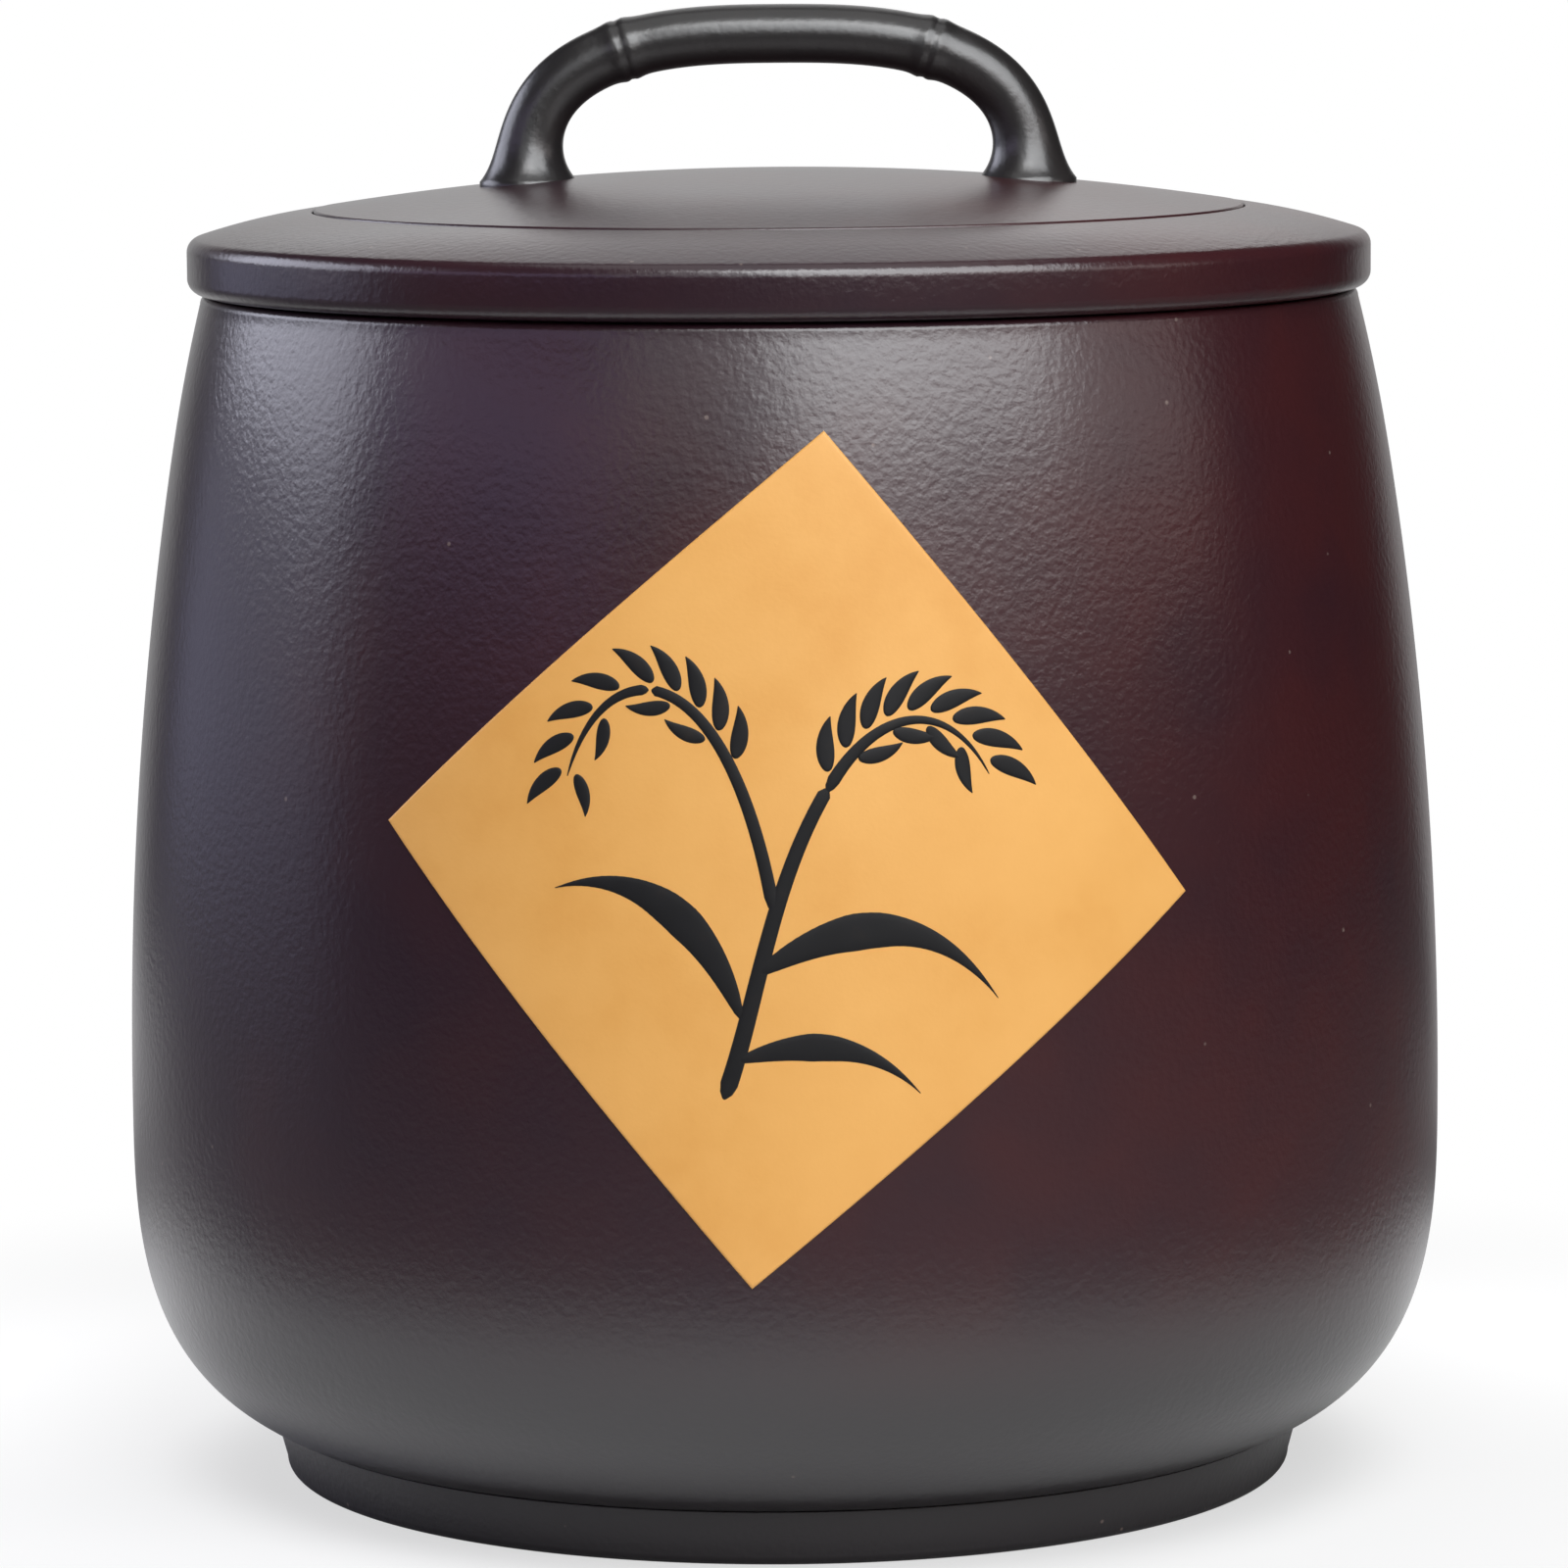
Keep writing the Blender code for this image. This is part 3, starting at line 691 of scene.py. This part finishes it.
def sprigPatches():
    # the stem, leaves and ears; the grains lean forwards on both sides of each ear, and on the
    # inner side of its bend, where there is less room, every other one is left out
    patches = [strokePatch(bends, widest, kind) for *bends, widest, kind in sprig["strokes"]]
    for points, first, last, count, length, outer in sprig["ears"]:
        shares = np.linspace(first, last, count)
        grains = [(t, outer, 1.0) for t in shares]
        grains += [(t, -outer, sprig["innerGrain"]) for t in shares[1::2]]
        for t, side, size in grains:
            place, along = bezier(points, t)
            turned = Matrix.Rotation(side * math.radians(sprig["grainTurn"]), 2) @ Vector(along)
            outwards = Vector((-along[1], along[0])) * side
            start = Vector(place) + outwards * sprig["grainStep"]
            reach = length * size
            end, third = start + turned * reach, turned * reach / 3
            bow = outwards * reach * sprig["grainBow"]
            bends = (start, start + third + bow, end - third + bow, end)
            patches.append(strokePatch(bends, reach * sprig["grainWidth"], "grain"))
    return patches


# Finishes

clayFinish = {
    # body colours as (place in the mottle, colour): a purple tone, the middle, and a redder one
    "tones": [(0.25, "#27141e"), (0.5, "#2e151c"), (0.8, "#3a1619")],
    "mottleSize": 0.050,
    "sideReach": 0.14,          # the tones also shift across the jar, out to here, by this much: a painted tint of the light, purple on the left, where the bluish lamps fall, and redder on the right
    "paintedTintShift": 0.30,
    "low": "#211d1f",           # greyer towards the foot, between these heights: painted shade on the hips, which holds back the red that the table's light brings up there
    "hipShadeFrom": (0.075, 0.030),
    "speck": "#75655f",         # pale sand and mica in the body
    "speckSpacing": 0.0135,
    "speckEdge": (0.040, 0.022),    # shares of the spacing: specks about 0.8 mm across
    "speckShare": 0.7,
    "grainSize": 0.0016,        # the sand, about 0.5 mm, drawn this coarse so that it shows
    "bump": 0.00010,
    # below about 0.275, Cycles' denoiser smooths the grain out of the highlights, so the range
    # that follows the mottle stays above that
    "roughness": (0.277, 0.289),
    "roughnessFrom": (0.3, 0.7),
    "ior": 1.72,                # high for a plain clay, for the closed, rubbed skin
}


def clayMaterial(name, values, specks=True):
    # unglazed stoneware rubbed to a satin: dark and even, a fine orange peel of sand grain in the
    # highlights and a scatter of pale specks
    material, tree, shader, where = newMaterial(name)
    mottle = addNode(tree, "ShaderNodeTexNoise",
                     {"Scale": 1 / values["mottleSize"], "Detail": 3.0, "Roughness": 0.55},
                     {"Vector": where})
    split = addNode(tree, "ShaderNodeSeparateXYZ", None, {0: where})
    # painted tint of the light: purple on the left, where the bluish lamps fall, redder on the
    # right
    side = addNode(tree, "ShaderNodeMapRange",
                   {"From Min": -values["sideReach"], "From Max": values["sideReach"],
                    "To Min": -values["paintedTintShift"], "To Max": values["paintedTintShift"]},
                   {"Value": split.outputs["X"]})
    tone = addNode(tree, "ShaderNodeMath", {"operation": "ADD"},
                   {0: mottle.outputs[0], 1: side.outputs[0]})
    ramp = addNode(tree, "ShaderNodeValToRGB", None, {"Fac": tone.outputs[0]})
    setStops(ramp, values["tones"])
    # painted shade: greyer towards the foot, against the table's light on the hips
    high, low = values["hipShadeFrom"]
    hipShadeShare = addNode(tree, "ShaderNodeMapRange",
                       {"interpolation_type": "SMOOTHSTEP", "From Min": high, "From Max": low},
                       {"Value": split.outputs["Z"]})
    hipShaded = addNode(tree, "ShaderNodeMix", {"data_type": "RGBA", 7: toLinear(values["low"])},
                     {0: hipShadeShare.outputs[0], 6: ramp.outputs["Color"]})
    colour = hipShaded.outputs[2]
    if specks:
        cells = addNode(tree, "ShaderNodeTexVoronoi", {"Scale": 1 / values["speckSpacing"]},
                        {"Vector": where})
        outside, full = values["speckEdge"]
        dot = addNode(tree, "ShaderNodeMapRange",
                      {"From Min": outside, "From Max": full,
                       "To Min": 0.0, "To Max": values["speckShare"]},
                      {"Value": cells.outputs["Distance"]})
        mixed = addNode(tree, "ShaderNodeMix", {"data_type": "RGBA", 7: toLinear(values["speck"])},
                        {0: dot.outputs[0], 6: colour})
        colour = mixed.outputs[2]
    tree.links.new(colour, shader.inputs["Base Color"])
    (start, end), (glossy, matt) = values["roughnessFrom"], values["roughness"]
    gloss = addNode(tree, "ShaderNodeMapRange",
                    {"From Min": start, "From Max": end, "To Min": glossy, "To Max": matt},
                    {"Value": mottle.outputs[0]})
    tree.links.new(gloss.outputs[0], shader.inputs["Roughness"])
    grain = addNode(tree, "ShaderNodeTexNoise",
                    {"Scale": 1 / values["grainSize"], "Detail": 2.0, "Roughness": 0.5},
                    {"Vector": where})
    peel = addNode(tree, "ShaderNodeBump", {"Strength": 1.0, "Distance": values["bump"]},
                   {"Height": grain.outputs[0]})
    tree.links.new(peel.outputs[0], shader.inputs["Normal"])
    shader.inputs["IOR"].default_value = values["ior"]
    return material


slipFinish = {
    "tones": [(0.3, "#dda050"), (0.5, "#e3a859"), (0.7, "#e7ad5e")],
    "cloudSize": 0.028,
    "fleck": "#8a5a2c",
    "fleckSpacing": 0.017,
    "fleckEdge": (0.024, 0.012),    # shares of the spacing: flecks about 0.6 mm across
    "fleckShare": 0.8,
    "grainSize": 0.0009,        # fired slip grain, about 0.1 mm, drawn this coarse so that it shows
    "bump": (0.6, 0.00004),     # strength and depth
    "roughness": 0.52,
}


def slipMaterial():
    # ochre slip, brushed on and fired: even, faintly cloudy, with a few iron flecks
    material, tree, shader, where = newMaterial("ochre_slip")
    cloud = addNode(tree, "ShaderNodeTexNoise",
                    {"Scale": 1 / slipFinish["cloudSize"], "Detail": 4.0, "Roughness": 0.6},
                    {"Vector": where})
    ramp = addNode(tree, "ShaderNodeValToRGB", None, {"Fac": cloud.outputs[0]})
    setStops(ramp, slipFinish["tones"])
    cells = addNode(tree, "ShaderNodeTexVoronoi", {"Scale": 1 / slipFinish["fleckSpacing"]},
                    {"Vector": where})
    outside, full = slipFinish["fleckEdge"]
    dot = addNode(tree, "ShaderNodeMapRange",
                  {"From Min": outside, "From Max": full,
                   "To Min": 0.0, "To Max": slipFinish["fleckShare"]},
                  {"Value": cells.outputs["Distance"]})
    mixed = addNode(tree, "ShaderNodeMix", {"data_type": "RGBA", 7: toLinear(slipFinish["fleck"])},
                    {0: dot.outputs[0], 6: ramp.outputs["Color"]})
    tree.links.new(mixed.outputs[2], shader.inputs["Base Color"])
    grain = addNode(tree, "ShaderNodeTexNoise",
                    {"Scale": 1 / slipFinish["grainSize"], "Detail": 2.0}, {"Vector": where})
    strength, depth = slipFinish["bump"]
    bump = addNode(tree, "ShaderNodeBump", {"Strength": strength, "Distance": depth},
                   {"Height": grain.outputs[0]})
    tree.links.new(bump.outputs[0], shader.inputs["Normal"])
    shader.inputs["Roughness"].default_value = slipFinish["roughness"]
    return material


inkFinish = {
    "tones": [(0.3, "#0c0c0e"), (0.6, "#101012"), (0.8, "#1c1714")],
    "patternSize": 0.006,       # patches where the brush was fuller or drier
    "detail": 3.0,
    "bump": (0.4, 0.00005),
    "sockets": {"Roughness": 0.62, "Specular IOR Level": 0.32},
}
rubberFinish = {
    "tones": [(0.3, "#cfccc4"), (0.7, "#dad7d0")],
    "patternSize": 0.0006,      # mould texture, about 0.05 mm, drawn this coarse so that it shows
    "detail": 2.0,
    "bump": (0.3, 0.00003),
    "sockets": {"Roughness": 0.48, "IOR": 1.41, "Subsurface Weight": 0.25,
                "Subsurface Radius": (0.002, 0.002, 0.002)},
}


def plainMaterial(name, values):
    # one soft noise gives the colour its tones and the surface its relief; on iron-black slip,
    # laid with a loaded brush, it is thinner and browner in places, and on moulded silicone
    # rubber it is a fine matt mould texture on a milky body
    material, tree, shader, where = newMaterial(name)
    pattern = addNode(tree, "ShaderNodeTexNoise",
                      {"Scale": 1 / values["patternSize"], "Detail": values["detail"]},
                      {"Vector": where})
    ramp = addNode(tree, "ShaderNodeValToRGB", None, {"Fac": pattern.outputs[0]})
    setStops(ramp, values["tones"])
    tree.links.new(ramp.outputs["Color"], shader.inputs["Base Color"])
    strength, depth = values["bump"]
    bump = addNode(tree, "ShaderNodeBump", {"Strength": strength, "Distance": depth},
                   {"Height": pattern.outputs[0]})
    tree.links.new(bump.outputs[0], shader.inputs["Normal"])
    for socket, value in values["sockets"].items():
        shader.inputs[socket].default_value = value
    return material


# the handle's clay is greyer and rubbed less evenly, and the foot is left as it was turned
handleFinish = {**clayFinish, "tones": [(0.25, "#1e1c1d"), (0.5, "#222020"), (0.8, "#272424")],
                "mottleSize": 0.02, "roughness": (0.28, 0.32), "bump": 0.00006}
footFinish = {**clayFinish, "roughness": (0.42, 0.48), "ior": 1.50}

bodyClay = clayMaterial("burnished_stoneware", clayFinish)
handleClay = clayMaterial("handle_stoneware", handleFinish, specks=False)
footClay = clayMaterial("unrubbed_stoneware", footFinish)
ochreSlip = slipMaterial()
blackSlip = plainMaterial("iron_black_slip", inkFinish)
silicone = plainMaterial("silicone_rubber", rubberFinish)
print("finishes made")


# Pieces: name, outline or surface, whether a closed ring, material, body, slot, solids replaced

turnedPiece("jar_wall", jarOutline(), False, bodyClay, "jar", "clay", ["jar_body"], wallRipple)
turnedPiece("jar_foot", footOutline(), True, footClay, "jar", "clay", ["foot_ring"])
turnedPiece("lid_seat_plate", plateOutline(), True, bodyClay, "lid", "clay", ["lid_plate"])
turnedPiece("lid_domed_disc", domeOutline(), False, bodyClay, "lid", "clay", ["lid_dome"])
turnedPiece("lid_hoop", flangeOutline(), True, bodyClay, "lid", "clay", ["lid_flange"])
turnedPiece("lip_seal", sealOutline(), True, silicone, "seal", "silicone", ["seal_ring"])
print("turned pieces made")

makePiece("bamboo_handle", *handleSurface(), handleClay, "lid", "handle_clay", ["lid_handle"])
print("handle made")

makePiece("slip_panel", *pillowPatches([panelPatch()]), ochreSlip, "jar", "panel_slip",
          ["label_panel"])
makePiece("brushed_sprig", *pillowPatches(sprigPatches()), blackSlip, "jar", "handle_clay")
print("panel and sprig made")


# Floor, light and camera

studio = {
    "floor": 12.0,              # side of its square
    "tableColour": "#c8c8c8",
    "tableSockets": {"Roughness": 0.9, "Specular IOR Level": 0.2},
    "roomColour": "#6e6e6e",    # the studio's floor beyond the table
    "tableEdge": (0.26, 0.38),  # distances over which one turns into the other
    "shade": (0.112, 0.128),    # distances over which the contact shade round the foot ends, and
    "shadeDepth": 0.15,         # how much of the table's light it takes away
    "glow": 0.29,               # painted light: the floor's own glow close round the jar, as of a lit table top, and the distances over which it comes up and goes again
    "glowFrom": (0.110, 0.140),     # distances over which it comes up
    "glowTo": (0.20, 0.29),         # and goes again
    # painted light: glowing patches of the floor that stand in for white reflector cards beside the
    # jar, as (x, y, reach, light)
    "cardGlows": [(-0.26, 0.13, 0.23, 0.60), (0.21, 0.16, 0.20, 0.40), (-0.42, 0.52, 0.42, 0.50),
              (0.36, 0.44, 0.22, 0.20)],
    "sweepGlow": 0.60,              # painted light: the floor's own glow for a white sweep behind the jar, and how squarely behind it that starts and is full, as a cosine
    "sweepWidth": (0.80, 0.93),     # behind it that starts and is full, as a cosine
    "fade": (0.14, 0.36),       # distances over which the floor turns white for the camera, and
    "nearWhite": 0.62,          # its share of white at the first
    "worldFront": 0.02,         # light of the room, and of its bright end behind the jar, with
    "worldBack": 0.71,
    "worldTurn": (0.85, 0.96),      # the cosines between which one turns into the other
    "aim": (0.0, 0.0, 0.15),
    # softboxes as (name, degrees round from the front to the right, degrees up, distance,
    # width, height, watts, colour)
    "lights": [
        ("key_softbox", 27, 39, 1.6, 1.50, 1.10, 26.2, "#fbfdff"),
        ("top_softbox", 0, 87, 1.6, 1.40, 1.20, 3.8, "#ffffff"),
        ("front_softbox", 0, 27, 1.6, 1.68, 0.66, 2.7, "#fbfdff"),
        ("high_softbox", -2, 51, 1.6, 0.80, 0.50, 3.8, "#ffffff"),
        ("right_strip", 45, 18, 1.6, 2.45, 0.37, 3.5, "#fff3f1"),
        ("left_strip", -54, 18, 1.6, 1.40, 0.37, 1.4, "#dccfff"),
        ("left_softbox", -108, 22, 1.6, 1.34, 0.72, 11.1, "#eceeff"),
        ("left_low", -109, 0, 1.6, 1.55, 0.28, 0.95, "#d8dcff"),
        ("back_softbox", 180, 40, 1.6, 0.84, 1.17, 2.3, "#ffffff"),
    ],
}


def makeFloor():
    # pale table in a darker studio, with painted light (a glow round the jar, a glowing sweep
    # behind it and glowing patches for reflector cards) and a painted contact shade at the foot; to
    # the camera the floor turns into the white background with its distance from the jar
    half = studio["floor"] / 2
    corners = [(-half, -half, 0), (half, -half, 0), (half, half, 0), (-half, half, 0)]
    mesh = bpy.data.meshes.new("floor")
    mesh.from_pydata(corners, [], [(0, 1, 2, 3)])
    floor = bpy.data.objects.new("floor", mesh)
    bpy.context.scene.collection.objects.link(floor)
    material, tree, shader, where = newMaterial("pale_floor")
    for socket, value in studio["tableSockets"].items():
        shader.inputs[socket].default_value = value
    length = addNode(tree, "ShaderNodeVectorMath", {"operation": "LENGTH"}, {0: where})
    heading = addNode(tree, "ShaderNodeVectorMath", {"operation": "NORMALIZE"}, {0: where})
    split = addNode(tree, "ShaderNodeSeparateXYZ", None, {0: heading.outputs[0]})
    away, backwards = length.outputs["Value"], split.outputs["Y"]

    # smooth changes, each from one level to another between two values of what it goes with; the
    # card glows' own go by number
    changes = {
        "room": (away, studio["tableEdge"], 0.0, 1.0),
        "shade": (away, studio["shade"], studio["shadeDepth"], 0.0),
        "glowUp": (away, studio["glowFrom"], 0.0, studio["glow"]),
        "glowDown": (away, studio["glowTo"], 1.0, 0.0),
        "sweepGlow": (backwards, studio["sweepWidth"], 0.0, studio["sweepGlow"]),
        "white": (away, studio["fade"], studio["nearWhite"], 1.0),
    }
    for number, (x, y, reach, strength) in enumerate(studio["cardGlows"]):
        beside = addNode(tree, "ShaderNodeVectorMath", {"operation": "DISTANCE", 1: (x, y, 0)},
                         {0: where})
        changes[number] = (beside.outputs["Value"], (0.0, reach), strength, 0.0)
    levels = {}
    for name, (source, (start, end), first, last) in changes.items():
        node = addNode(tree, "ShaderNodeMapRange",
                       {"interpolation_type": "SMOOTHSTEP", "From Min": start, "From Max": end,
                        "To Min": first, "To Max": last}, {"Value": source})
        levels[name] = node.outputs[0]

    colour = addNode(tree, "ShaderNodeMix",
                     {"data_type": "RGBA", 6: toLinear(studio["tableColour"]),
                      7: toLinear(studio["roomColour"])}, {0: levels["room"]})
    shaded = addNode(tree, "ShaderNodeMix", {"data_type": "RGBA", 7: (0, 0, 0, 1)},
                     {0: levels["shade"], 6: colour.outputs[2]})
    tree.links.new(shaded.outputs[2], shader.inputs["Base Color"])
    glow = addNode(tree, "ShaderNodeMath", {"operation": "MULTIPLY"},
                   {0: levels["glowUp"], 1: levels["glowDown"]})
    sweepGlow = addNode(tree, "ShaderNodeMath", {"operation": "MULTIPLY"},
                    {0: levels["sweepGlow"], 1: levels["room"]})
    # painted light: the floor glows, though it is no lamp
    light = glow
    for more in [sweepGlow.outputs[0]] + [levels[number] for number in range(len(studio["cardGlows"]))]:
        light = addNode(tree, "ShaderNodeMath", {"operation": "ADD"},
                        {0: light.outputs[0], 1: more})
    tree.links.new(light.outputs[0], shader.inputs["Emission Strength"])
    shader.inputs["Emission Color"].default_value = (1, 1, 1, 1)
    path = addNode(tree, "ShaderNodeLightPath")
    share = addNode(tree, "ShaderNodeMath", {"operation": "MULTIPLY"},
                    {0: path.outputs["Is Camera Ray"], 1: levels["white"]})
    white = addNode(tree, "ShaderNodeEmission", {"Strength": 1.0})
    both = addNode(tree, "ShaderNodeMixShader", None,
                   {0: share.outputs[0], 1: shader.outputs[0], 2: white.outputs[0]})
    tree.links.new(both.outputs[0], tree.nodes["Material Output"].inputs["Surface"])
    mesh.materials.append(material)


def makeWorld():
    # white where the camera looks, and a soft room that is brighter behind the jar
    world = bpy.data.worlds.new("studio")
    bpy.context.scene.world = world
    world.use_nodes = True
    tree = world.node_tree
    background = tree.nodes["Background"]
    background.inputs["Color"].default_value = (1, 1, 1, 1)
    direction = addNode(tree, "ShaderNodeTexCoord").outputs["Generated"]
    split = addNode(tree, "ShaderNodeSeparateXYZ", None, {0: direction})
    start, end = studio["worldTurn"]
    level = addNode(tree, "ShaderNodeMapRange",
                    {"From Min": start, "From Max": end, "To Min": studio["worldFront"],
                     "To Max": studio["worldBack"]}, {"Value": split.outputs["Y"]})
    path = addNode(tree, "ShaderNodeLightPath")
    seen = addNode(tree, "ShaderNodeMath", {"operation": "MAXIMUM"},
                   {0: path.outputs["Is Camera Ray"], 1: level.outputs[0]})
    tree.links.new(seen.outputs[0], background.inputs["Strength"])


def makeSoftbox(name, azimuth, elevation, distance, width, height, watts, colour):
    # area lamp at a distance from the aim, turned to face it
    light = bpy.data.lights.new(name, "AREA")
    light.shape = "RECTANGLE"
    light.size, light.size_y = width, height
    light.energy = watts
    light.color = toLinear(colour)[:3]
    lamp = bpy.data.objects.new(name, light)
    a, e = math.radians(azimuth), math.radians(elevation)
    away = Vector((math.sin(a) * math.cos(e), -math.cos(a) * math.cos(e), math.sin(e)))
    lamp.location = Vector(studio["aim"]) + away * distance
    lamp.rotation_euler = away.to_track_quat("Z", "Y").to_euler()
    bpy.context.scene.collection.objects.link(lamp)


camera = {
    "place": (0.00025, -1.5650, 0.3417),
    "down": 7.14,               # degrees below level
    "roll": -0.44,              # degrees
    "focalPixels": 7525,        # focal length in pixels of the photo, and the photo's width
    "imageWidth": 1600,
    "sensor": 36.0,             # millimetres
    "clip": (0.05, 60),
}


def makeCamera():
    # camera at the photo's viewing angle, tilted down and rolled about its own axis
    data = bpy.data.cameras.new("photo_camera")
    data.sensor_fit = "HORIZONTAL"
    data.sensor_width = camera["sensor"]
    data.lens = camera["focalPixels"] / camera["imageWidth"] * camera["sensor"]
    data.clip_start, data.clip_end = camera["clip"]
    view = bpy.data.objects.new("photo_camera", data)
    tilt = Matrix.Rotation(math.radians(90 - camera["down"]), 4, "X")
    roll = Matrix.Rotation(math.radians(camera["roll"]), 4, "Z")
    view.matrix_world = Matrix.Translation(camera["place"]) @ tilt @ roll
    bpy.context.scene.collection.objects.link(view)
    bpy.context.scene.camera = view


makeFloor()
makeWorld()
for softbox in studio["lights"]:
    makeSoftbox(*softbox)
makeCamera()
bpy.context.scene.view_settings.view_transform = "Standard"
print("studio made")

bpy.context.view_layer.update()
